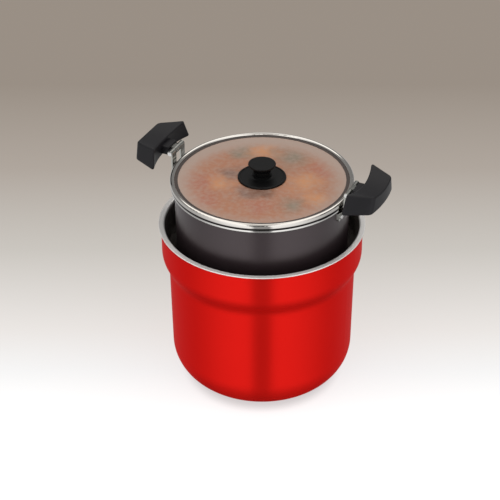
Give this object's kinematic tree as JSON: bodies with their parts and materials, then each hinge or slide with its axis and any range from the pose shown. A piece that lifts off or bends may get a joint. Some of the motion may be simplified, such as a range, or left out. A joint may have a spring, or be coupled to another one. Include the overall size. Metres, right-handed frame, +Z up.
{
  "type": "thermal cooker",
  "caption": "Thermal cooker: a red double-walled vacuum vessel with a cooking pot drawn part way out, a steel-banded glass lid with a knob and fold-in grips.",
  "frame": {"origin": "centre of the vessel's foot, on the surface that it stands on", "axes": "+Z up along the vessel's axis, +X towards the pot's right handle, -Y towards the front"},
  "size_m": [0.36, 0.2884, 0.3523],
  "materials": {
    "red_paint": "metallic red baked enamel, satin-gloss",
    "liner_steel": "satin stainless steel",
    "lip_steel": "polished rolled stainless lip",
    "copper_foil": "thin bright copper-coloured foil",
    "getter_metal": "grey sintered pellet",
    "base_steel": "pressed stainless plate",
    "seal_glass": "glass solder plug",
    "cap_plastic": "fine-grained black plastic",
    "foot_rubber": "matte black silicone rubber",
    "pot_coating": "dark grey satin non-stick coating",
    "bead_steel": "polished stainless bead",
    "core_aluminium": "cast aluminium core",
    "cover_steel": "spun stainless cover",
    "bracket_steel": "pressed polished stainless sheet",
    "pin_steel": "turned stainless pin",
    "screw_steel": "stainless screws",
    "insert_brass": "knurled brass insert",
    "grip_resin": "matte black moulded phenolic resin",
    "lid_glass": "clear tempered glass, steamed on the inside",
    "band_steel": "polished stainless band",
    "gasket_silicone": "grey silicone",
    "knob_resin": "matte black moulded resin"
  },
  "bodies": {
    "vessel": {"shell_base": "red_paint", "shell_wall": "red_paint", "shell_collar": "red_paint", "liner_base": "liner_steel", "liner_wall": "liner_steel", "liner_collar": "liner_steel", "rim_ring": "lip_steel", "radiation_foil": "copper_foil", "getter": "getter_metal", "base_plate": "base_steel", "evacuation_seal": "seal_glass", "base_cap": "cap_plastic", "foot_ring": "foot_rubber"},
    "pot": {"pot_body": "pot_coating", "pot_rim_bead": "bead_steel", "pot_base_core": "core_aluminium", "pot_base_cover": "cover_steel", "bracket_right": "bracket_steel", "bracket_rivets_right": "pin_steel", "hinge_pin_right": "pin_steel", "bracket_left": "bracket_steel", "bracket_rivets_left": "pin_steel", "hinge_pin_left": "pin_steel"},
    "lid": {"lid_glass": "lid_glass", "lid_band": "band_steel", "lid_gasket": "gasket_silicone", "knob_base": "knob_resin", "knob": "knob_resin", "knob_screw": "screw_steel", "knob_steel_washer": "base_steel", "knob_seal_washer": "gasket_silicone"},
    "handle_right": {"hinge_leaf_right": "bracket_steel", "grip_right": "grip_resin", "grip_inserts_right": "insert_brass", "grip_screws_right": "screw_steel"},
    "handle_left": {"hinge_leaf_left": "bracket_steel", "grip_left": "grip_resin", "grip_inserts_left": "insert_brass", "grip_screws_left": "screw_steel"}
  },
  "joints": [
    {"name": "pot_lift", "type": "slide", "parent": "vessel", "child": "pot", "axis": [0, 0, 1], "range_m": [-0.075, 0.16]},
    {"name": "lid_lift", "type": "slide", "parent": "pot", "child": "lid", "axis": [0, 0, 1], "range_m": [0, 0.1]},
    {"name": "handle_right_fold", "type": "hinge", "parent": "pot", "child": "handle_right", "pos_m": [0.1325, 0, 0.334], "axis": [0, -1, 0], "range_deg": [0, 155]},
    {"name": "handle_left_fold", "type": "hinge", "parent": "pot", "child": "handle_left", "pos_m": [-0.1325, 0, 0.334], "axis": [0, 1, 0], "range_deg": [0, 155]}
  ]
}
